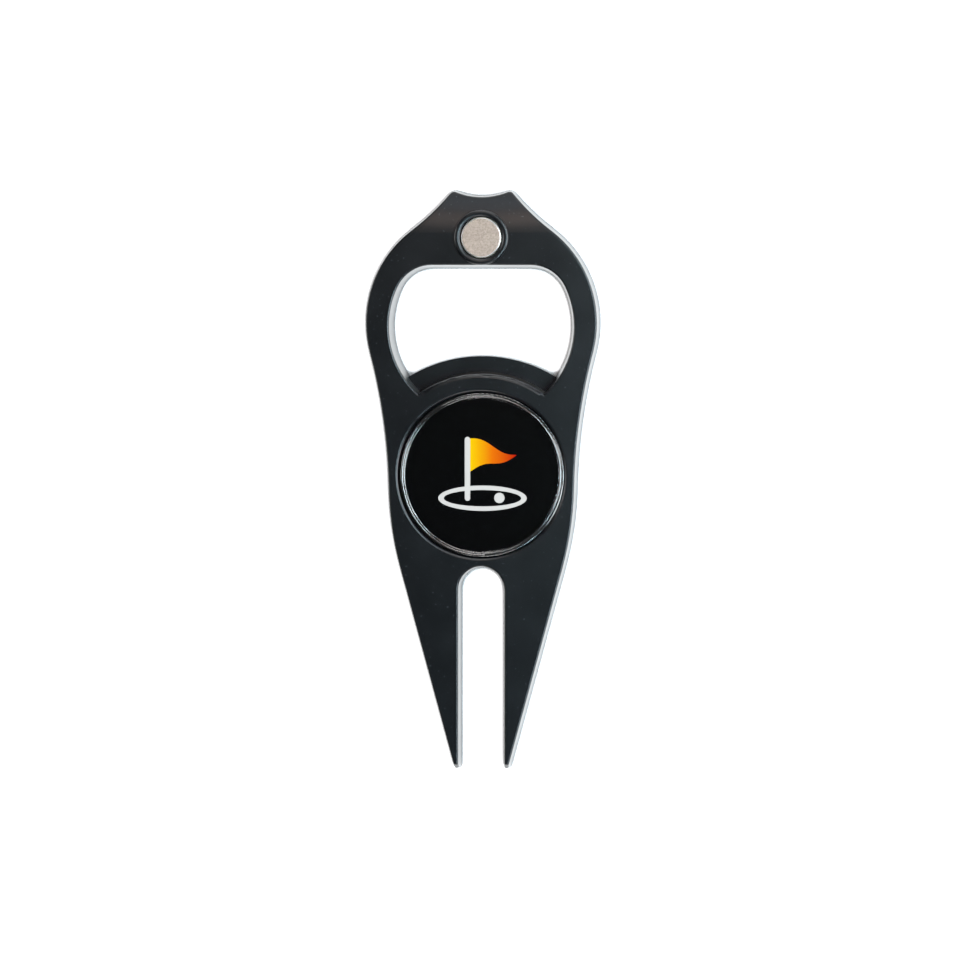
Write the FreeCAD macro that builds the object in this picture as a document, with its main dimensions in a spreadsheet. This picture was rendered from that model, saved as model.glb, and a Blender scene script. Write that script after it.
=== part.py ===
import FreeCAD, Part
import Sketcher

import math
import os

# A pocket divot repair tool: one zinc casting with two prongs, a bottle opener and a rest for a
# club grip, a small magnet that catches the bottle cap, and a round ball marker that a second
# magnet holds in a recess of the face.
#
# Frame: millimetres. The casting lies on its back, so +Z comes out of its face. +Y runs from the
# prongs to the grip rest and X = 0 is its plane of symmetry. Z = 0 is the back face, and Y = 0 is
# halfway along the tool.

# Driving dimensions in millimetres and degrees. The outline is that of the front face; the walls
# spread from it towards the back.
SIZES = {
    # casting as a whole
    "thickness": 5.0,
    "wall_draft": 4.2,
    "front_edge_radius": 0.28,
    "back_edge_radius": 0.2,
    # ring-shaped head round the opener
    "head_radius": 17.73,
    "head_y": 24.0,
    # grip rest: a shallow notch between two horns
    "notch_radius": 10.85,
    "notch_bottom_y": 43.15,
    "horn_x": 4.25,
    "horn_tip_radius": 0.7,
    "horn_flank_radius": 38.0,
    # ramp that thins the head towards the notch
    "ramp_start_y": 37.8,
    "ramp_end_y": 46.0,
    "ramp_drop": 2.4,
    "ramp_radius": 17.0,
    # sides, from the head down to the prongs
    "waist_radius": 88.0,
    "hip_radius": 50.0,
    "hip_y": -0.4,
    # prongs and the slot between them
    "prong_angle": 15.25,
    "prong_end_y": -44.4,
    "prong_tip_radius": 0.3,
    "slot_half_width": 3.55,
    "slot_top_y": -13.35,
    "tip_bevel_start_y": -43.8,
    "tip_bevel_end_y": -45.5,
    "tip_bevel_depth": 3.0,
    # bottle opener: flat side, round ends, and a thin lip in front of a step
    "opener_radius": 14.2,
    "opener_y": 23.45,
    "opener_top_y": 32.85,
    "opener_corner_radius": 5.8,
    "opener_draft": 6.9,
    "step_radius": 16.5,
    "step_y": -0.35,
    "step_edge_radius": 0.65,
    "step_round_span": 68.0,
    "lip_radius": 21.75,
    "lip_y": -2.9,
    "lip_thickness": 2.2,
    "lip_half_width": 12.8,
    "lip_root_y": 12.25,
    # small magnet in its raised collar
    "cap_magnet_y": 37.05,
    "cap_magnet_radius": 3.05,
    "cap_magnet_height": 2.0,
    "cap_magnet_sink": 0.05,
    "collar_radius": 4.2,
    "collar_height": 0.4,
    "collar_root_depth": 2.0,
    "collar_mouth_radius": 0.55,
    "collar_edge_radius": 0.35,
    # ball marker's steel cup and its recess; the marker lies loose, a little off the middle
    "marker_y": 0.7,
    "marker_aside": 0.15,
    "marker_radius": 12.5,
    "marker_height": 1.8,
    "marker_floor": 0.9,
    "marker_rim_width": 0.6,
    "marker_edge_radius": 0.05,
    "rim_groove_radius": 12.22,
    "rim_groove_width": 0.12,
    "rim_groove_depth": 0.2,
    "marker_seat_gap": 0.02,
    "recess_radius": 12.75,
    "recess_depth": 1.9,
    "recess_edge_radius": 0.45,
    # printed label in the cup, and the clear dome cast over it
    "label_margin": 0.04,
    "label_thickness": 0.15,
    "dome_side_height": 0.6,
    "dome_edge_radius": 0.2,
    "dome_height": 1.35,
    # magnet under the marker
    "marker_magnet_radius": 5.0,
    "marker_magnet_height": 1.5,
    "marker_magnet_sink": 0.05,
    # both magnets, and the glue that holds each in its pocket
    "magnet_bevel": 0.15,
    "pocket_clearance": 0.1,
    "glue_floor": 0.1,
    "glue_wall_height": 1.2,
    "glue_seam": 0.01,
}

# Sketcher's names for a point of an edge, and for the sketch's own origin and vertical axis
START, END, CENTRE = 1, 2, 3
ORIGIN = (-1, 1)
VERTICAL_AXIS = -2
# how one edge of an outline meets the next
SHARP, SMOOTH = "Coincident", "Tangent"

# expressions that several pieces share
COLLAR_TOP = "Sizes.thickness + Sizes.collar_height"
RECESS_FLOOR = "Sizes.thickness - Sizes.recess_depth"
MARKER_SEAT = f"{RECESS_FLOOR} + Sizes.marker_seat_gap"
STEP_ROUND_REACH = "Sizes.step_radius + Sizes.step_edge_radius * tan(Sizes.opener_draft * 1 deg)"
HOLLOW_RADIUS = "Sizes.marker_radius - Sizes.marker_rim_width"
LABEL_RADIUS = f"{HOLLOW_RADIUS} - Sizes.label_margin"

Z_UP = FreeCAD.Vector(0, 0, 1)
TOUCH = 1e-4

doc = FreeCAD.newDocument("divot_tool")


# ---------------------------------------------------------------------------------------------
# spreadsheet, bodies and features
# ---------------------------------------------------------------------------------------------

def make_sheet():
    """The spreadsheet that holds every driving dimension under its alias."""
    sheet = doc.addObject("Spreadsheet::Sheet", "Sizes")
    for row, (alias, value) in enumerate(SIZES.items(), start=1):
        sheet.set(f"A{row}", alias)
        sheet.set(f"B{row}", str(value))
        sheet.setAlias(f"B{row}", alias)
    doc.recompute()


def place(thing, **expressions):
    """Binds x, y or z of an object's placement to Sizes expressions."""
    for axis, expression in expressions.items():
        thing.setExpression(f"Placement.Base.{axis}", expression)


def make_body(label):
    body = doc.addObject("PartDesign::Body", label)
    body.Label = label
    return body


def make_sketch(body, name, role="XY_Plane", height=None):
    """A sketch on one of the body's origin planes, lifted along its normal to a height."""
    sketch = body.newObject("Sketcher::SketchObject", name)
    plane = next(f for f in body.Origin.OriginFeatures if f.Role == role)
    sketch.AttachmentSupport = [(plane, "")]
    sketch.MapMode = "FlatFace"
    if height:
        sketch.setExpression("AttachmentOffset.Base.z", height)
    return sketch


def pad(body, name, sketch, length, reverse=False, taper=None):
    """Adds material on one side of the sketch; a positive taper spreads away from it."""
    feature = body.newObject("PartDesign::Pad", name)
    feature.Profile = sketch
    feature.Reversed = reverse
    feature.setExpression("Length", length)
    if taper:
        feature.setExpression("TaperAngle", taper)


def pocket(body, name, sketch, depth, side="One side", taper=None):
    """Removes material below the sketch, or on both sides of it, and checks that it did."""
    doc.recompute()
    volume_before = body.Shape.Volume
    feature = body.newObject("PartDesign::Pocket", name)
    feature.Profile = sketch
    feature.SideType = side
    feature.setExpression("Length", depth)
    if taper:
        feature.setExpression("TaperAngle", taper)
    doc.recompute()
    if body.Shape.isNull() or body.Shape.Volume >= volume_before:
        raise RuntimeError(f"{name} removes nothing")


def dress(body, kind, name, chosen, size):
    """A Fillet or a Chamfer on those edges of the body so far that pass the test."""
    doc.recompute()
    base = body.Tip
    edges = [f"Edge{n}" for n, edge in enumerate(base.Shape.Edges, start=1) if chosen(edge)]
    if not edges:
        raise RuntimeError(f"{name} has no edges")
    feature = body.newObject(f"PartDesign::{kind}", name)
    feature.Base = (base, edges)
    feature.setExpression("Radius" if kind == "Fillet" else "Size", size)
    doc.recompute()


def is_circle(edge):
    return isinstance(edge.Curve, Part.Circle)


# ---------------------------------------------------------------------------------------------
# outlines: closed chains of arcs and lines, walked anticlockwise round the material. Each edge
# is drawn where its sizes put it, and its Sizes expressions then keep it there.
# ---------------------------------------------------------------------------------------------

def arc(centre, radius, first, last, **rules):
    """An arc walked from one angle to another, in degrees; clockwise if last is the smaller."""
    return {"centre": centre, "radius": radius, "first": first, "last": last, **rules}


def line(first, last, **rules):
    """A straight edge from one point to the next."""
    return {"from": first, "to": last, **rules}


def mirrored(edges):
    """The same edges on the other side of X = 0, in the order that goes on with the walk."""
    return [mirrored_edge(edge) for edge in reversed(edges)]


def mirrored_edge(edge):
    flipped = dict(edge)
    if "centre" in edge:
        flipped["centre"] = (-edge["centre"][0], edge["centre"][1])
        flipped["first"] = 180 - edge["last"]
        flipped["last"] = 180 - edge["first"]
    else:
        flipped["from"] = (-edge["to"][0], edge["to"][1])
        flipped["to"] = (-edge["from"][0], edge["from"][1])
    for rule in ("x", "slope"):
        if rule in edge:
            flipped[rule] = f"-({edge[rule]})"
    return flipped


def draw(sketch, edges, joints):
    """Draws the closed chain. joints[i] says how edge i meets the next one."""
    ends = [add_edge(sketch, edge) for edge in edges]
    for (here, _, last), (there, first, _), joint in zip(ends, ends[1:] + ends[:1], joints):
        sketch.addConstraint(Sketcher.Constraint(joint, here, last, there, first))
    for edge, (index, _, _) in zip(edges, ends):
        add_rules(sketch, edge, index)
    return sketch


def add_edge(sketch, edge):
    """Adds one edge. Gives its index, and the points where the walk enters and leaves it."""
    if "centre" not in edge:
        shape = Part.LineSegment(FreeCAD.Vector(*edge["from"], 0), FreeCAD.Vector(*edge["to"], 0))
        return sketch.addGeometry(shape, False), START, END
    circle = Part.Circle(FreeCAD.Vector(*edge["centre"], 0), Z_UP, edge["radius"])
    turns = sorted((math.radians(edge["first"]), math.radians(edge["last"])))
    index = sketch.addGeometry(Part.ArcOfCircle(circle, *turns), False)
    if edge["last"] > edge["first"]:
        return index, START, END
    return index, END, START


def add_rules(sketch, edge, index):
    """Constrains an edge by its rules. x and y place an arc's centre or a line's first point,
    to_x and to_y a line's last point; r is a radius and slope a line's angle."""
    anchor = CENTRE if "centre" in edge else START
    plain = {
        "at_origin": ("Coincident", index, anchor, *ORIGIN),
        "on_axis": ("PointOnObject", index, anchor, VERTICAL_AXIS),
        "vertical": ("Vertical", index),
        "horizontal": ("Horizontal", index),
    }
    for rule, constraint in plain.items():
        if edge.get(rule):
            sketch.addConstraint(Sketcher.Constraint(*constraint))
    first, last = sketch.getPoint(index, anchor), sketch.getPoint(index, END)
    sized = {
        "r": ("Radius", index, edge.get("radius")),
        "x": ("DistanceX", *ORIGIN, index, anchor, first.x),
        "y": ("DistanceY", *ORIGIN, index, anchor, first.y),
        "to_x": ("DistanceX", *ORIGIN, index, END, last.x),
        "to_y": ("DistanceY", *ORIGIN, index, END, last.y),
        "slope": ("Angle", index, math.atan2(last.y - first.y, last.x - first.x)),
    }
    for rule, constraint in sized.items():
        if rule in edge:
            bind_constraint(sketch, constraint, edge[rule])


def bind_constraint(sketch, constraint, expression):
    number = sketch.addConstraint(Sketcher.Constraint(*constraint))
    sketch.setExpression(f"Constraints[{number}]", expression)


def draw_circle(sketch, radius, y=None):
    """One full circle, at the sketch's origin or on its vertical axis."""
    index = sketch.addGeometry(Part.Circle(FreeCAD.Vector(0, 0, 0), Z_UP, 1), False)
    bind_constraint(sketch, ("Radius", index, 1), radius)
    if y:
        sketch.addConstraint(Sketcher.Constraint("PointOnObject", index, CENTRE, VERTICAL_AXIS))
        bind_constraint(sketch, ("DistanceY", *ORIGIN, index, CENTRE, 1), y)
    else:
        sketch.addConstraint(Sketcher.Constraint("Coincident", index, CENTRE, *ORIGIN))
    return sketch


def meeting_point(centre_a, reach_a, centre_b, reach_b):
    """The point at both reaches from both centres, on the left of the way from a to b."""
    across, up = centre_b[0] - centre_a[0], centre_b[1] - centre_a[1]
    apart = math.hypot(across, up)
    along = (apart ** 2 + reach_a ** 2 - reach_b ** 2) / (2 * apart)
    aside = math.sqrt(reach_a ** 2 - along ** 2)
    return (centre_a[0] + (along * across - aside * up) / apart,
            centre_a[1] + (along * up + aside * across) / apart)


def heading(start, end):
    """Direction from one point to another, in degrees from -90 to 270."""
    angle = math.degrees(math.atan2(end[1] - start[1], end[0] - start[0]))
    return angle + 360 if angle < -90 else angle


# ---------------------------------------------------------------------------------------------
# casting
# ---------------------------------------------------------------------------------------------

def casting_outline():
    """Outline of the front face: the right side, the notch, the left side and the slot."""
    s = SIZES
    tip = (s["slot_half_width"] + s["prong_tip_radius"], s["prong_end_y"] + s["prong_tip_radius"])
    lean = math.radians(s["prong_angle"])
    outward = (math.cos(lean), -math.sin(lean))
    prong_reach = outward[0] * tip[0] + outward[1] * tip[1] + s["prong_tip_radius"]
    hip = ((prong_reach - s["hip_radius"] - outward[1] * s["hip_y"]) / outward[0], s["hip_y"])
    head = (0, s["head_y"])
    waist = meeting_point(head, s["head_radius"] + s["waist_radius"],
                          hip, s["hip_radius"] + s["waist_radius"])
    notch = (0, s["notch_bottom_y"] + s["notch_radius"])
    horn_reach = s["notch_radius"] + s["horn_tip_radius"]
    horn = (s["horn_x"], notch[1] - math.sqrt(horn_reach ** 2 - s["horn_x"] ** 2))
    flank = meeting_point(horn, s["horn_tip_radius"] + s["horn_flank_radius"],
                          head, s["head_radius"] + s["horn_flank_radius"])
    slot_top = (0, s["slot_top_y"] - s["slot_half_width"])

    def beside(centre, radius):
        """Where the prong's straight side touches an arc."""
        return (centre[0] + radius * outward[0], centre[1] + radius * outward[1])

    right_side = [
        arc(tip, s["prong_tip_radius"], -180, -s["prong_angle"],
            r="Sizes.prong_tip_radius", y="Sizes.prong_end_y + Sizes.prong_tip_radius"),
        line(beside(tip, s["prong_tip_radius"]), beside(hip, s["hip_radius"]),
             slope="90 deg - Sizes.prong_angle * 1 deg"),
        arc(hip, s["hip_radius"], -s["prong_angle"], heading(hip, waist),
            r="Sizes.hip_radius", y="Sizes.hip_y"),
        arc(waist, s["waist_radius"], heading(waist, hip), heading(waist, head),
            r="Sizes.waist_radius"),
        arc(head, s["head_radius"], heading(head, waist), heading(head, flank),
            r="Sizes.head_radius", y="Sizes.head_y", on_axis=True),
        arc(flank, s["horn_flank_radius"], heading(flank, head), heading(flank, horn),
            r="Sizes.horn_flank_radius"),
        arc(horn, s["horn_tip_radius"], heading(horn, flank), heading(horn, notch),
            r="Sizes.horn_tip_radius", x="Sizes.horn_x"),
    ]
    notch_arc = arc(notch, s["notch_radius"],
                    360 + heading(notch, horn), 180 - heading(notch, horn),
                    r="Sizes.notch_radius", on_axis=True,
                    y="Sizes.notch_bottom_y + Sizes.notch_radius")
    slot_side = line((-s["slot_half_width"], tip[1]), (-s["slot_half_width"], slot_top[1]),
                     x="-Sizes.slot_half_width", vertical=True)
    slot_arc = arc(slot_top, s["slot_half_width"], 180, 0,
                   y="Sizes.slot_top_y - Sizes.slot_half_width")
    return [*right_side, notch_arc, *mirrored(right_side),
            slot_side, slot_arc, mirrored_edge(slot_side)]


def opener_outline():
    """The opener's cut: flat at the top, round at both sides, and bounded by the step below."""
    s = SIZES
    middle, step = (0, s["opener_y"]), (0, s["step_y"])
    corner_y = s["opener_top_y"] - s["opener_corner_radius"]
    corner_reach = s["opener_radius"] - s["opener_corner_radius"]
    corner = (math.sqrt(corner_reach ** 2 - (corner_y - s["opener_y"]) ** 2), corner_y)
    step_end = meeting_point(middle, s["opener_radius"], step, s["step_radius"])
    right_side = [
        arc(middle, s["opener_radius"], heading(middle, step_end), heading(middle, corner),
            r="Sizes.opener_radius", y="Sizes.opener_y", on_axis=True),
        arc(corner, s["opener_corner_radius"], heading(middle, corner), 90,
            r="Sizes.opener_corner_radius"),
    ]
    top = line((corner[0], s["opener_top_y"]), (-corner[0], s["opener_top_y"]),
               y="Sizes.opener_top_y", horizontal=True)
    step_arc = arc(step, s["step_radius"], 180 - heading(step, step_end), heading(step, step_end),
                   r="Sizes.step_radius", y="Sizes.step_y", on_axis=True)
    return [*right_side, top, *mirrored(right_side), step_arc]


def lip_outline():
    """The lip that catches the cap: an arc in front, and a root inside the casting."""
    s = SIZES
    half, root_y = s["lip_half_width"], s["lip_root_y"]
    end_angle = math.degrees(math.acos(half / s["lip_radius"]))
    end_y = s["lip_y"] + math.sqrt(s["lip_radius"] ** 2 - half ** 2)
    return [
        arc((0, s["lip_y"]), s["lip_radius"], end_angle, 180 - end_angle,
            r="Sizes.lip_radius", y="Sizes.lip_y", on_axis=True),
        line((-half, end_y), (-half, root_y), x="-Sizes.lip_half_width", vertical=True),
        line((-half, root_y), (half, root_y), y="Sizes.lip_root_y", horizontal=True),
        line((half, root_y), (half, end_y), x="Sizes.lip_half_width", vertical=True),
    ]


def ramp_outline():
    """Side view of what the ramp takes off: the corner above a shallow round."""
    s = SIZES
    top, low = s["thickness"], s["thickness"] - s["ramp_drop"]
    start, end = (s["ramp_start_y"], top), (s["ramp_end_y"], low)
    middle = meeting_point(end, s["ramp_radius"], start, s["ramp_radius"])
    return [
        arc(middle, s["ramp_radius"], heading(middle, start), heading(middle, end),
            r="Sizes.ramp_radius"),
        line(end, (end[0], top),
             x="Sizes.ramp_end_y", y="Sizes.thickness - Sizes.ramp_drop", vertical=True),
        line((end[0], top), start,
             y="Sizes.thickness", to_x="Sizes.ramp_start_y", horizontal=True),
    ]


def tip_bevel_outline():
    """Side view of what the bevel takes off the prongs' ends."""
    s = SIZES
    top, low = s["thickness"], s["thickness"] - s["tip_bevel_depth"]
    start_y, end_y = s["tip_bevel_start_y"], s["tip_bevel_end_y"]
    return [
        line((start_y, top), (end_y, top),
             x="Sizes.tip_bevel_start_y", y="Sizes.thickness", horizontal=True),
        line((end_y, top), (end_y, low),
             x="Sizes.tip_bevel_end_y", to_y="Sizes.thickness - Sizes.tip_bevel_depth",
             vertical=True),
        line((end_y, low), (start_y, top)),
    ]


def make_tool_body():
    """The zinc casting."""
    body = make_body("tool_body")
    face = "Sizes.thickness"
    outline = make_sketch(body, "face_outline", height=face)
    edges = casting_outline()
    draw(outline, edges, [SMOOTH] * len(edges))
    pad(body, "blank", outline, face, reverse=True, taper="Sizes.wall_draft")
    cut_opener(body, face)
    cut_across(body, "ramp", ramp_outline())
    cut_across(body, "tip_bevel", tip_bevel_outline())
    recess = draw_circle(make_sketch(body, "recess_outline", height=face),
                         "Sizes.recess_radius", "Sizes.marker_y")
    pocket(body, "marker_recess", recess, "Sizes.recess_depth")
    dress(body, "Fillet", "recess_edge", is_recess_edge, "Sizes.recess_edge_radius")
    dress(body, "Fillet", "front_edges", is_front_edge, "Sizes.front_edge_radius")
    dress(body, "Fillet", "back_edges", is_back_edge, "Sizes.back_edge_radius")
    round_step(body)
    raise_collar(body)
    sink_magnet_pocket(body, "marker_magnet", RECESS_FLOOR, "Sizes.marker_y")
    return body


def cut_opener(body, face):
    """The opening right through the head, with the lip put back along its lower side."""
    opening = make_sketch(body, "opener_outline", height=face)
    draw(opening, opener_outline(), [SMOOTH, SMOOTH, SMOOTH, SMOOTH, SHARP, SHARP])
    pocket(body, "opener", opening, face, taper="-Sizes.opener_draft")
    lip = make_sketch(body, "lip_outline")
    draw(lip, lip_outline(), [SHARP] * 4)
    pad(body, "lip", lip, "Sizes.lip_thickness")


def cut_across(body, name, edges):
    """A cut through the whole width, drawn on the plane of symmetry."""
    sketch = make_sketch(body, f"{name}_outline", role="YZ_Plane")
    draw(sketch, edges, [SHARP] * len(edges))
    pocket(body, name, sketch, "4 * Sizes.head_radius", side="Symmetric")


def is_recess_edge(edge):
    """The circle where the marker's recess opens on the face."""
    on_face = edge.BoundBox.ZMin > SIZES["thickness"] - TOUCH
    return on_face and is_circle(edge) and abs(edge.Curve.Radius - SIZES["recess_radius"]) < TOUCH


def is_front_edge(edge):
    """Every edge above the recess's floor, except those of the recess's own rounded rim."""
    is_high = edge.BoundBox.ZMin > SIZES["thickness"] - SIZES["recess_depth"] + TOUCH
    rim_reach = SIZES["recess_radius"] + SIZES["recess_edge_radius"] + TOUCH
    reaches = [math.hypot(end.X, end.Y - SIZES["marker_y"]) for end in edge.Vertexes]
    return is_high and max(reaches) > rim_reach


def is_back_edge(edge):
    return edge.BoundBox.ZMax < TOUCH


def step_round_outline():
    """Half section of what the soft round takes off the step, out from the step's own axis."""
    s = SIZES
    top, radius = s["thickness"], s["step_edge_radius"]
    reach = s["step_radius"] + radius * math.tan(math.radians(s["opener_draft"]))
    return [
        arc((reach - radius, top - radius), radius, 90, 0, r="Sizes.step_edge_radius",
            x=f"{STEP_ROUND_REACH} - Sizes.step_edge_radius",
            y="Sizes.thickness - Sizes.step_edge_radius"),
        line((reach, top - radius), (reach, top), vertical=True),
        line((reach, top), (reach - radius, top), horizontal=True),
    ]


def round_step(body):
    """A soft round along the step's edge, which stops a little before both of its corners."""
    outline = make_sketch(body, "step_round_outline", role="YZ_Plane")
    outline.setExpression("AttachmentOffset.Base.x", "Sizes.step_y")
    draw(outline, step_round_outline(), [SMOOTH, SHARP, SMOOTH])
    groove = body.newObject("PartDesign::Groove", "step_round")
    groove.Profile = outline
    groove.ReferenceAxis = (outline, ["V_Axis"])
    groove.Midplane = True
    groove.setExpression("Angle", "Sizes.step_round_span")


def raise_collar(body):
    """The raised ring round the small magnet, with its pocket and its rounded crest."""
    ring = draw_circle(make_sketch(body, "collar_outline", height=COLLAR_TOP),
                       "Sizes.collar_radius", "Sizes.cap_magnet_y")
    pad(body, "collar", ring, "Sizes.collar_root_depth", reverse=True)
    sink_magnet_pocket(body, "cap_magnet", COLLAR_TOP, "Sizes.cap_magnet_y")
    pocket_radius = SIZES["cap_magnet_radius"] + SIZES["pocket_clearance"]
    dress(body, "Fillet", "collar_mouth", lambda edge: is_on_collar_top(edge, pocket_radius),
          "Sizes.collar_mouth_radius")
    dress(body, "Fillet", "collar_edge",
          lambda edge: is_on_collar_top(edge, SIZES["collar_radius"]),
          "Sizes.collar_edge_radius")


def is_on_collar_top(edge, radius):
    on_top = edge.BoundBox.ZMin > SIZES["thickness"] + SIZES["collar_height"] - TOUCH
    return on_top and is_circle(edge) and abs(edge.Curve.Radius - radius) < TOUCH


def sink_magnet_pocket(body, magnet, mouth, y):
    """A blind hole as deep as the magnet, the glue under it and the little that it sits low."""
    circle = draw_circle(make_sketch(body, f"{magnet}_pocket_outline", height=mouth),
                         f"Sizes.{magnet}_radius + Sizes.pocket_clearance", y)
    pocket(body, f"{magnet}_pocket", circle, f"{magnet_depth(magnet)} + Sizes.glue_floor")


# ---------------------------------------------------------------------------------------------
# magnets and their glue
# ---------------------------------------------------------------------------------------------

def magnet_depth(magnet):
    """How far below its pocket's mouth a magnet's lower face lies."""
    return f"Sizes.{magnet}_sink + Sizes.{magnet}_height"


def make_magnet(magnet, mouth, y):
    """A disc magnet with bevelled edges."""
    body = make_body(magnet)
    circle = draw_circle(make_sketch(body, f"{magnet}_outline"), f"Sizes.{magnet}_radius")
    pad(body, f"{magnet}_disc", circle, f"Sizes.{magnet}_height")
    dress(body, "Chamfer", f"{magnet}_bevel", is_circle, "Sizes.magnet_bevel")
    place(body, y=y, z=f"{mouth} - ({magnet_depth(magnet)})")
    return body


def make_glue(magnet, mouth, y):
    """The cup of set glue under and around a magnet."""
    glue = f"{magnet}_glue"
    outside = doc.addObject("Part::Cylinder", f"{glue}_outside")
    outside.setExpression(
        "Radius", f"Sizes.{magnet}_radius + Sizes.pocket_clearance - Sizes.glue_seam")
    outside.setExpression("Height", "Sizes.glue_floor + Sizes.glue_wall_height")
    inside = doc.addObject("Part::Cylinder", f"{glue}_inside")
    inside.setExpression("Radius", f"Sizes.{magnet}_radius + Sizes.glue_seam")
    inside.setExpression("Height", "2 * Sizes.glue_wall_height")
    place(inside, z="Sizes.glue_floor")
    cup = doc.addObject("Part::Cut", glue)
    cup.Label = glue
    cup.Base = outside
    cup.Tool = inside
    place(cup, y=y, z=f"{mouth} - ({magnet_depth(magnet)} + Sizes.glue_floor)")
    return cup


# ---------------------------------------------------------------------------------------------
# ball marker
# ---------------------------------------------------------------------------------------------

def make_marker_cup():
    """The plated steel cup: a disc with a raised rim, which a fine groove splits in two."""
    body = make_body("marker_cup")
    pad(body, "cup_disc", draw_circle(make_sketch(body, "cup_outline"), "Sizes.marker_radius"),
        "Sizes.marker_height")
    hollow = draw_circle(make_sketch(body, "hollow_outline", height="Sizes.marker_height"),
                         HOLLOW_RADIUS)
    pocket(body, "cup_hollow", hollow, "Sizes.marker_height - Sizes.marker_floor")
    groove = make_sketch(body, "rim_groove_outline", height="Sizes.marker_height")
    draw_circle(groove, "Sizes.rim_groove_radius")
    draw_circle(groove, "Sizes.rim_groove_radius - Sizes.rim_groove_width")
    pocket(body, "rim_groove", groove, "Sizes.rim_groove_depth")
    dress(body, "Fillet", "cup_edges", is_cup_edge, "Sizes.marker_edge_radius")
    place(body, x="Sizes.marker_aside", y="Sizes.marker_y", z=MARKER_SEAT)
    return body


def is_cup_edge(edge):
    """The circles at the top and the bottom of the cup."""
    at_top = abs(edge.BoundBox.ZMin - SIZES["marker_height"]) < TOUCH
    return is_circle(edge) and (at_top or edge.BoundBox.ZMax < TOUCH)


def make_marker_label():
    """The printed disc that lies on the cup's floor."""
    body = make_body("marker_label")
    pad(body, "label_disc", draw_circle(make_sketch(body, "label_outline"), LABEL_RADIUS),
        "Sizes.label_thickness")
    place(body, x="Sizes.marker_aside", y="Sizes.marker_y",
          z=f"{MARKER_SEAT} + Sizes.marker_floor")
    return body


def dome_outline():
    """Half section of the dome: its flat underside, its rounded edge and its crown."""
    s = SIZES
    radius = s["marker_radius"] - s["marker_rim_width"] - s["label_margin"]
    side, edge_radius, height = s["dome_side_height"], s["dome_edge_radius"], s["dome_height"]
    edge, rise = (radius - edge_radius, side), height - side
    crown_radius = (edge[0] ** 2 + rise ** 2 - edge_radius ** 2) / (2 * (rise - edge_radius))
    crown = (0, height - crown_radius)
    turn = heading(crown, edge)
    return [
        line((0, 0), (radius, 0), at_origin=True, horizontal=True),
        line((radius, 0), (radius, side),
             x=LABEL_RADIUS, to_y="Sizes.dome_side_height", vertical=True),
        arc(edge, edge_radius, 0, turn, r="Sizes.dome_edge_radius"),
        arc(crown, crown_radius, turn, 90, on_axis=True),
        line((0, height), (0, 0), y="Sizes.dome_height", on_axis=True),
    ]


def make_marker_dome():
    """The clear resin dome over the label."""
    body = make_body("marker_dome")
    outline = make_sketch(body, "dome_outline", role="XZ_Plane")
    draw(outline, dome_outline(), [SHARP, SMOOTH, SMOOTH, SHARP, SHARP])
    dome = body.newObject("PartDesign::Revolution", "dome")
    dome.Profile = outline
    dome.ReferenceAxis = (outline, ["V_Axis"])
    place(body, x="Sizes.marker_aside", y="Sizes.marker_y",
          z=f"{MARKER_SEAT} + Sizes.marker_floor + Sizes.label_thickness")
    return body


# ---------------------------------------------------------------------------------------------
# whole tool
# ---------------------------------------------------------------------------------------------

def make_parts():
    cap_magnet_place = ("cap_magnet", COLLAR_TOP, "Sizes.cap_magnet_y")
    marker_magnet_place = ("marker_magnet", RECESS_FLOOR, "Sizes.marker_y")
    return [
        make_tool_body(),
        make_magnet(*cap_magnet_place),
        make_glue(*cap_magnet_place),
        make_magnet(*marker_magnet_place),
        make_glue(*marker_magnet_place),
        make_marker_cup(),
        make_marker_label(),
        make_marker_dome(),
    ]


def check_document(parts):
    """Stops if any object failed, or if a part isn't one sound solid."""
    for thing in doc.Objects:
        if {"Invalid", "Error"} & set(thing.State):
            raise RuntimeError(f"{thing.Label} failed: {thing.State}")
        if thing.TypeId == "Sketcher::SketchObject" and not thing.FullyConstrained:
            raise RuntimeError(f"{thing.Label} is not fully constrained")
    for part in parts:
        shape = part.Shape
        if shape.isNull() or not shape.isValid() or len(shape.Solids) != 1:
            raise RuntimeError(f"{part.Label} is not one sound solid")


def export(parts):
    os.makedirs("parts", exist_ok=True)
    for part in parts:
        part.Shape.exportStep(f"parts/{part.Label}.step")


make_sheet()
parts = make_parts()
doc.recompute()
check_document(parts)
export(parts)
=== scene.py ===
"""Looks of the divot repair tool: coatings, plating, the marker's print and its clear dome.

Everything is in metres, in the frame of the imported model: the tool lies on its back on Z = 0,
+Y runs from the prongs to the grip rest, and +Z comes out of its face.
"""

import math

import bmesh
import bpy
from mathutils import Matrix, Vector


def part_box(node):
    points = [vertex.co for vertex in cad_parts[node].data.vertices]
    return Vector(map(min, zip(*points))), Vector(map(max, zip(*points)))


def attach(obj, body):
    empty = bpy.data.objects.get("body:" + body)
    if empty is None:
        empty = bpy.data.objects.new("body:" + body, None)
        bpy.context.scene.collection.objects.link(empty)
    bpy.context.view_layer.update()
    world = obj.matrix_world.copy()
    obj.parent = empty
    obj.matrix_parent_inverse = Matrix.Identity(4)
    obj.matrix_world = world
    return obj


MM = 0.001

# camera: nearly straight above, a little to the right and towards the grip rest
CAMERA_WAY = Vector((0.061, 0.046, 1.0)).normalized()
CAMERA_DISTANCE = 0.9
# width that the camera takes in at the face, and where it aims beside the middle of the casting
FIELD_WIDTH = 147.0 * MM
AIM_OFFSET = Vector((-0.15 * MM, 0.17 * MM, 0.0))
# sensor width in millimetres, as Blender has it
SENSOR_WIDTH = 36.0

# brightness of the floor's paper and of the dark room round the lamps
PAPER_GLOW = 1.9
ROOM_GLOW = 0.02
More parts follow.
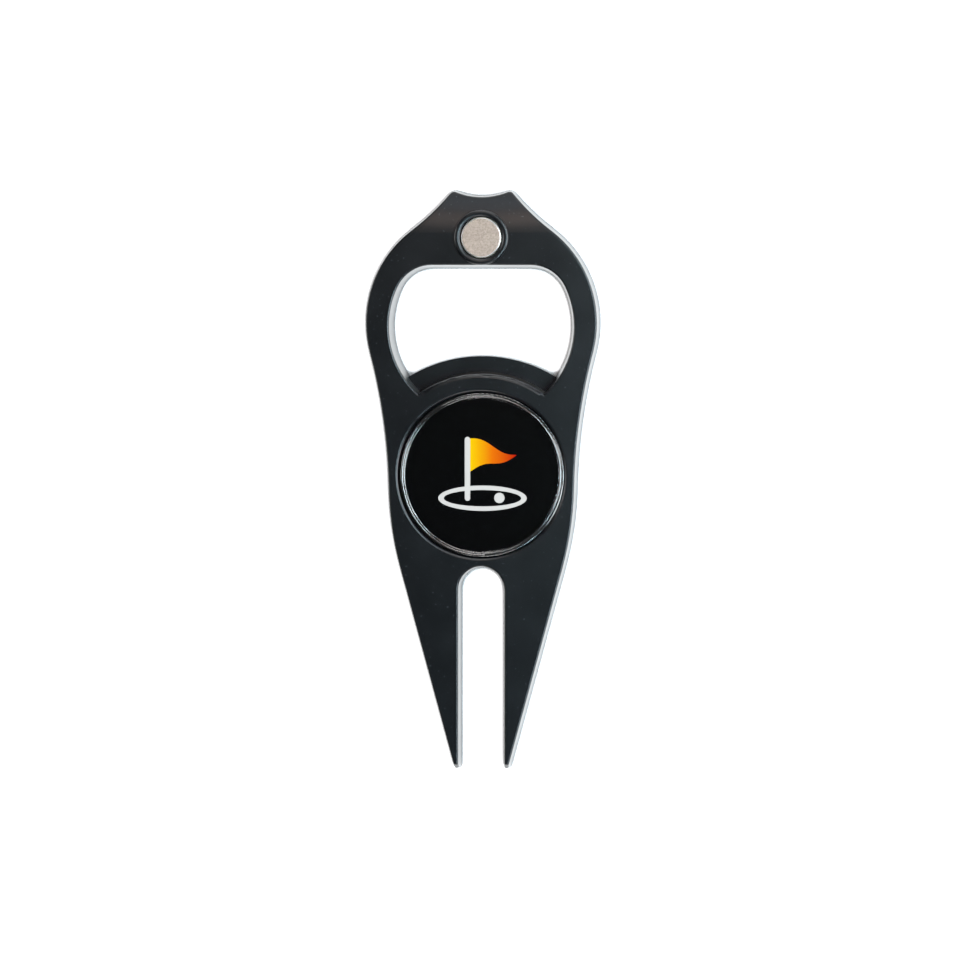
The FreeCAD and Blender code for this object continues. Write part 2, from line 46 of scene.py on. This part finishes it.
# the floor lies just under the tool, so that the two faces don't coincide
FLOOR_DROP = 0.02 * MM
FLOOR_HALF_WIDTH = 3.0

# ink has hardly any gloss of its own under the resin
INK_GLOSS = 0.02
PRINT_THICKNESS = 0.02 * MM
# the pole and the ball lie on top of the green's ring
PRINT_OVERLAP = 0.002 * MM


# ---------------------------------------------------------------------------------------------
# node helpers
# ---------------------------------------------------------------------------------------------

class Shading:
    """A material's node tree, with short ways to add the nodes that the looks below need."""

    def __init__(self, name):
        self.material = bpy.data.materials.new(name)
        self.material.use_nodes = True
        self.tree = self.material.node_tree
        self.tree.nodes.clear()
        self.output = self.add("ShaderNodeOutputMaterial")
        self.coordinates = self.add("ShaderNodeTexCoord").outputs["Object"]

    def add(self, kind, **values):
        """A node. Keys that name an input set it or link to it, the others are properties."""
        node = self.tree.nodes.new(kind)
        for key, value in values.items():
            if hasattr(node, key) and key not in node.inputs:
                setattr(node, key, value)
            else:
                self.feed(node.inputs[key], value)
        return node

    def feed(self, socket, value):
        """Links another node's output to the socket, or sets it to a plain value."""
        if isinstance(value, bpy.types.NodeSocket):
            self.tree.links.new(value, socket)
        else:
            socket.default_value = value

    def noise(self, grain, detail=2.0, roughness=0.5):
        """Noise whose grains are about that many metres across, from 0 to 1."""
        return self.add("ShaderNodeTexNoise", Vector=self.coordinates, Scale=1 / grain,
                        Detail=detail, Roughness=roughness).outputs["Fac"]

    def scaled(self, value, start, end, low, high):
        """A number from low to high as the value goes from start to end."""
        node = self.add("ShaderNodeMapRange", Value=value)
        limits = {"From Min": start, "From Max": end, "To Min": low, "To Max": high}
        for name, limit in limits.items():
            node.inputs[name].default_value = limit
        return node.outputs["Result"]

    def between(self, noise, low, high):
        """A number from low to high; noise seldom leaves the stretch from 0.3 to 0.7."""
        return self.scaled(noise, 0.3, 0.7, low, high)

    def upward(self):
        """How far the surface faces up: 1 on level ground, 0 on a wall."""
        normal = self.add("ShaderNodeNewGeometry").outputs["Normal"]
        return self.add("ShaderNodeSeparateXYZ", Vector=normal).outputs["Z"]

    def blend(self, factor, first, second):
        """A colour between two colours."""
        node = self.add("ShaderNodeMix", data_type="RGBA")
        self.feed(node.inputs[0], factor)
        self.feed(node.inputs[6], first)
        self.feed(node.inputs[7], second)
        return node.outputs[2]

    def bump(self, height, distance, normal=None):
        """Relief as high as the distance, on top of another normal if there is one."""
        node = self.add("ShaderNodeBump", Height=height, Distance=distance, Strength=1.0)
        if normal:
            self.feed(node.inputs["Normal"], normal)
        return node.outputs["Normal"]

    def combine(self, operation, first, second):
        """The result of a sum or product of two numbers or sockets."""
        node = self.add("ShaderNodeMath", operation=operation)
        self.feed(node.inputs[0], first)
        self.feed(node.inputs[1], second)
        return node.outputs["Value"]

    def principled(self, **inputs):
        """A Principled shader on the output. Underscores in the keys stand for spaces."""
        node = self.add("ShaderNodeBsdfPrincipled")
        for key, value in inputs.items():
            self.feed(node.inputs[key.replace("_", " ")], value)
        self.feed(self.output.inputs["Surface"], node.outputs["BSDF"])


def rgb(red, green, blue):
    """A linear colour with full alpha."""
    return (red, green, blue, 1.0)


# ---------------------------------------------------------------------------------------------
# materials
# ---------------------------------------------------------------------------------------------

def coated_zinc():
    """Satin black coating that follows a faint cast grain, with a few specks of dust."""
    look = Shading("coated_zinc")
    cloud = look.noise(6 * MM, detail=4.0)
    grain = look.noise(0.2 * MM, detail=3.0, roughness=0.6)
    waves = look.noise(2.5 * MM)
    fine = look.bump(grain, 0.0012 * MM)
    coat = look.blend(look.between(cloud, 0.0, 1.0),
                      rgb(0.0016, 0.0020, 0.0027), rgb(0.0022, 0.0027, 0.0036))
    dust = look.scaled(look.noise(0.45 * MM, detail=1.0), 0.72, 0.76, 0.0, 1.0)
    look.principled(
        Base_Color=look.blend(dust, coat, rgb(0.03, 0.033, 0.036)),
        Roughness=look.between(cloud, 0.275, 0.305),
        Normal=look.bump(waves, 0.002 * MM, normal=fine),
    )
    return look.material


def magnet_plating():
    """Nickel over sintered magnet: warm and mottled on the flat, with a painted highlight that
    brightens its rounded edge.
    """
    look = Shading("magnet_plating")
    grain = look.noise(0.25 * MM, detail=4.0, roughness=0.7)
    flat = look.blend(look.between(grain, 0.0, 1.0),
                      rgb(0.36, 0.272, 0.22), rgb(0.61, 0.472, 0.392))
    # painted highlight: where the surface turns from facing up to facing sideways, the colour goes
    # near-white
    painted_edge_highlight = look.scaled(look.upward(), 0.95, 0.8, 0.0, 1.0)
    look.principled(
        Base_Color=look.blend(painted_edge_highlight, flat, rgb(0.95, 0.93, 0.90)),
        Metallic=1.0,
        Roughness=look.between(grain, 0.38, 0.52),
        Normal=look.bump(grain, 0.010 * MM),
    )
    return look.material


def bright_steel():
    """Nickel plated cup of the marker: fine turning marks, and painted shade that makes its wall
    and underside darker than its rim.
    """
    look = Shading("bright_steel")
    marks = look.noise(0.12 * MM, detail=3.0)
    rim = look.blend(look.between(marks, 0.0, 1.0),
                     rgb(0.52, 0.52, 0.52), rgb(0.62, 0.62, 0.61))
    # painted shade: surfaces that face sideways or down get a darker colour than the upward-facing
    # rim
    painted_wall_shade_mask = look.scaled(look.upward(), 0.05, 0.2, 0.0, 1.0)
    look.principled(
        Base_Color=look.blend(painted_wall_shade_mask, rgb(0.23, 0.23, 0.225), rim),
        Metallic=1.0,
        Roughness=look.between(marks, 0.11, 0.15),
        Normal=look.bump(marks, 0.0003 * MM),
    )
    return look.material


def black_print():
    """Black ink on the label."""
    look = Shading("black_print")
    dots = look.noise(0.1 * MM)
    look.principled(
        Base_Color=look.blend(look.between(dots, 0.0, 1.0),
                              rgb(0.0007, 0.0007, 0.0008), rgb(0.0012, 0.0012, 0.0013)),
        Roughness=look.between(dots, 0.45, 0.55),
        Specular_IOR_Level=INK_GLOSS,
    )
    return look.material


def white_print():
    """White ink, very slightly uneven."""
    look = Shading("white_print")
    dots = look.noise(0.12 * MM)
    look.principled(
        Base_Color=look.blend(look.between(dots, 0.0, 1.0),
                              rgb(0.46, 0.42, 0.39), rgb(0.49, 0.45, 0.42)),
        Roughness=0.5,
        Specular_IOR_Level=INK_GLOSS,
    )
    return look.material


def pennant_print(left, right):
    """Yellow ink at the pole, which is left, then orange, then red at the pennant's point."""
    look = Shading("pennant_print")
    across = look.add("ShaderNodeSeparateXYZ", Vector=look.coordinates).outputs["X"]
    ramp = look.add("ShaderNodeValToRGB", Fac=look.scaled(across, left, right, 0.0, 1.0))
    stops = ramp.color_ramp.elements
    stops[0].color = rgb(0.64, 0.385, 0.001)
    stops[1].color = rgb(0.38, 0.008, 0.001)
    middle = stops.new(0.5)
    middle.color = rgb(0.56, 0.11, 0.001)
    look.principled(Base_Color=ramp.outputs["Color"], Roughness=0.5,
                    Specular_IOR_Level=INK_GLOSS)
    return look.material


def clear_resin():
    """Clear dome: mirrors at its outer surface and lets everything else straight through."""
    look = Shading("clear_resin")
    ripple = look.bump(look.noise(9 * MM), 0.0015 * MM)
    outside = look.combine("SUBTRACT", 1.0, look.add("ShaderNodeNewGeometry").outputs["Backfacing"])
    fresnel = look.add("ShaderNodeFresnel", IOR=1.42).outputs["Fac"]
    mirrored = look.combine("MULTIPLY", fresnel, outside)
    clear = look.add("ShaderNodeBsdfTransparent")
    gloss = look.add("ShaderNodeBsdfAnisotropic", Roughness=0.1, Normal=ripple)
    mix = look.add("ShaderNodeMixShader")
    look.feed(mix.inputs[0], mirrored)
    look.feed(mix.inputs[1], clear.outputs["BSDF"])
    look.feed(mix.inputs[2], gloss.outputs["BSDF"])
    look.feed(look.output.inputs["Surface"], mix.outputs["Shader"])
    return look.material


def set_epoxy():
    """Amber glue, slightly cloudy."""
    look = Shading("set_epoxy")
    cloud = look.noise(0.5 * MM)
    look.principled(
        Base_Color=look.blend(look.between(cloud, 0.0, 1.0),
                              rgb(0.42, 0.36, 0.24), rgb(0.55, 0.49, 0.36)),
        Roughness=look.between(cloud, 0.25, 0.4),
    )
    return look.material


def white_floor():
    """Lit white paper, darker right where the tool shades it."""
    look = Shading("white_floor")
    open_sky = look.add("ShaderNodeAmbientOcclusion", samples=8, Distance=1.2 * MM).outputs["AO"]
    look.principled(
        Base_Color=rgb(0.5, 0.5, 0.5),
        Roughness=0.7,
        Emission_Color=rgb(1.0, 1.0, 1.0),
        Emission_Strength=look.scaled(open_sky, 0.55, 0.82, 0.0, PAPER_GLOW),
    )
    return look.material


# ---------------------------------------------------------------------------------------------
# marker's print: a golf flag on its green, as raised ink on the label
# ---------------------------------------------------------------------------------------------

def ellipse(centre, half_width, half_height, steps=72):
    """Points of an ellipse, anticlockwise, in millimetres from the marker's middle."""
    turns = [2 * math.pi * step / steps for step in range(steps)]
    return [(centre[0] + half_width * math.cos(turn), centre[1] + half_height * math.sin(turn))
            for turn in turns]


def ink(name, outline, material, lift=0.0, hole=None):
    """A thin closed slab of that outline on the label, ringed if it has a hole."""
    middle = label_middle()
    mesh = bpy.data.meshes.new(name)
    shape = bmesh.new()
    heights = (middle.z + lift, middle.z + lift + PRINT_THICKNESS)
    rings = [[[shape.verts.new((middle.x + x * MM, middle.y + y * MM, z)) for x, y in ring]
              for z in heights]
             for ring in ([outline, hole] if hole else [outline])]
    for low, high in rings:
        add_band(shape, low, high)
    if hole:
        (low_out, high_out), (low_in, high_in) = rings
        add_band(shape, high_out, high_in)
        add_band(shape, low_in, low_out)
    else:
        shape.faces.new(rings[0][1])
        shape.faces.new(list(reversed(rings[0][0])))
    bmesh.ops.recalc_face_normals(shape, faces=shape.faces)
    shape.to_mesh(mesh)
    shape.free()
    piece = bpy.data.objects.new(name, mesh)
    bpy.context.scene.collection.objects.link(piece)
    mesh.materials.append(material)
    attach(piece, "marker")


def add_band(shape, first, second):
    """Faces between two loops of as many points."""
    count = len(first)
    for here in range(count):
        after = (here + 1) % count
        shape.faces.new((first[here], first[after], second[after], second[here]))


def label_middle():
    """Middle of the label's upper face."""
    low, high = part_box("marker_label")
    return Vector(((low.x + high.x) / 2, (low.y + high.y) / 2, high.z))


def pennant_outline(left, right, top, bottom, wave, blunt=0.04, steps=24):
    """A pennant that tapers to its point on the right, with a wave along both edges. The point
    is twice the blunt half width across."""
    middle = (top + bottom) / 2
    upper, lower = [], []
    for step in range(steps + 1):
        way = step / steps
        x = left + (right - left) * way
        lift = wave * math.sin(2 * math.pi * way)
        half = (top - bottom) / 2 * (1 - way) + blunt
        upper.append((x, middle + half + lift))
        lower.append((x, middle - half + lift))
    return list(reversed(upper)) + lower


def pole_outline(x, bottom, top, half_width, steps=8):
    """An upright bar with round ends."""
    ends = []
    for centre_y, start in ((top, 0.0), (bottom, math.pi)):
        for step in range(steps + 1):
            turn = start + math.pi * step / steps
            ends.append((x + half_width * math.cos(turn), centre_y + half_width * math.sin(turn)))
    return ends


def make_print():
    """A flag on its pole, a ball, and the ring of the green, in millimetres from the middle."""
    white = white_print()
    green_y = -3.6
    pole_x, pole_half, pole_top = -2.3, 0.42, 5.4
    flag_left, flag_right = pole_x + pole_half, 5.2
    pennant = pennant_print(flag_left * MM, flag_right * MM)
    ink("print_green", ellipse((0, green_y), 6.8, 1.95), white,
        hole=ellipse((0, green_y), 5.95, 1.25))
    ink("print_pole", pole_outline(pole_x, green_y, pole_top, pole_half), white,
        lift=PRINT_OVERLAP)
    ink("print_pennant", pennant_outline(flag_left, flag_right, 5.55, 0.5, 0.4), pennant)
    ink("print_ball", ellipse((2.6, -3.55), 0.8, 0.8, steps=40), white, lift=PRINT_OVERLAP)


# ---------------------------------------------------------------------------------------------
# floor, lights and camera
# ---------------------------------------------------------------------------------------------

def make_floor():
    """A square sheet of lit white paper."""
    half = FLOOR_HALF_WIDTH
    mesh = bpy.data.meshes.new("floor")
    corners = [(-half, -half, 0), (half, -half, 0), (half, half, 0), (-half, half, 0)]
    mesh.from_pydata(corners, [], [(0, 1, 2, 3)])
    floor = bpy.data.objects.new("floor", mesh)
    floor.location.z = -FLOOR_DROP
    bpy.context.scene.collection.objects.link(floor)
    mesh.materials.append(white_floor())


def softbox(name, place, size, radiance, colour=(1.0, 1.0, 1.0)):
    """A lamp that faces the tool. Its first size lies level and its second tilts down towards
    the tool; radiance is the brightness of its panel."""
    lamp = bpy.data.lights.new(name, "AREA")
    lamp.shape = "RECTANGLE"
    lamp.size, lamp.size_y = size
    lamp.energy = radiance * math.pi * size[0] * size[1]
    lamp.color = colour
    panel = bpy.data.objects.new(name, lamp)
    panel.location = place
    panel.rotation_euler = Vector(place).to_track_quat("Z", "Y").to_euler()
    bpy.context.scene.collection.objects.link(panel)


def make_lights():
    """A dark room with two strips over the face and large boxes all round."""
    world = bpy.data.worlds.new("studio")
    world.use_nodes = True
    background = world.node_tree.nodes["Background"]
    background.inputs["Color"].default_value = rgb(1.0, 1.0, 1.0)
    background.inputs["Strength"].default_value = ROOM_GLOW
    bpy.context.scene.world = world
    softbox("key_strip", (0.088, 0.004, 0.2), (0.2, 0.035), 19.0, colour=(0.70, 0.97, 1.10))
    softbox("warm_strip", (0.04, 0.181, 0.49), (0.24, 0.12), 2.5, colour=(1.22, 0.97, 0.86))
    softbox("side_box", (0.75, 0.05, 0.33), (0.8, 0.6), 7.0, colour=(0.94, 1.0, 1.05))
    softbox("fill_left", (-0.75, 0.1, 0.4), (0.4, 0.6), 4.0)
    softbox("high_strip", (0.05, 0.42, 0.58), (0.5, 0.1), 2.2, colour=(0.90, 1.0, 1.12))
    softbox("fill_top", (0.05, 0.8, 0.4), (0.6, 0.4), 4.0)
    softbox("fill_low", (0.05, -0.8, 0.4), (0.6, 0.4), 4.0)


def make_camera():
    """A camera whose picture's upright is the tool's own length."""
    low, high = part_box("tool_body")
    aim = Vector(((low.x + high.x) / 2, (low.y + high.y) / 2, high.z)) + AIM_OFFSET
    right = Vector((0, 1, 0)).cross(CAMERA_WAY).normalized()
    up = CAMERA_WAY.cross(right)
    turn = Matrix((right, up, CAMERA_WAY)).transposed()
    data = bpy.data.cameras.new("camera")
    data.sensor_width = SENSOR_WIDTH
    data.lens = SENSOR_WIDTH * CAMERA_DISTANCE / FIELD_WIDTH
    data.clip_start = 0.01
    data.clip_end = 20.0
    camera = bpy.data.objects.new("camera", data)
    camera.matrix_world = Matrix.Translation(aim + CAMERA_DISTANCE * CAMERA_WAY) @ turn.to_4x4()
    bpy.context.scene.collection.objects.link(camera)
    bpy.context.scene.camera = camera


# ---------------------------------------------------------------------------------------------
# whole scene
# ---------------------------------------------------------------------------------------------

def dress(nodes):
    """Gives each CAD node its finish."""
    plating = magnet_plating()
    epoxy = set_epoxy()
    looks = {
        "tool_body": coated_zinc(),
        "cap_magnet": plating,
        "cap_magnet_glue": epoxy,
        "marker_magnet": plating,
        "marker_magnet_glue": epoxy,
        "marker_cup": bright_steel(),
        "marker_label": black_print(),
        "marker_dome": clear_resin(),
    }
    for node, material in looks.items():
        for slot in nodes[node].material_slots:
            slot.material = material


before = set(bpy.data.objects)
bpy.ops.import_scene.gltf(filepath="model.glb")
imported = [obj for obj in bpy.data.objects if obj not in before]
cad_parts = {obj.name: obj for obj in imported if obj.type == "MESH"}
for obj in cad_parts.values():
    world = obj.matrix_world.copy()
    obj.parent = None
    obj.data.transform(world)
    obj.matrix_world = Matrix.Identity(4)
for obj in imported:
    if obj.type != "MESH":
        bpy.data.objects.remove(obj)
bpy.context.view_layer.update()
scene = bpy.context.scene
scene.view_settings.view_transform = "Standard"
dress(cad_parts)
make_print()
make_floor()
make_lights()
make_camera()
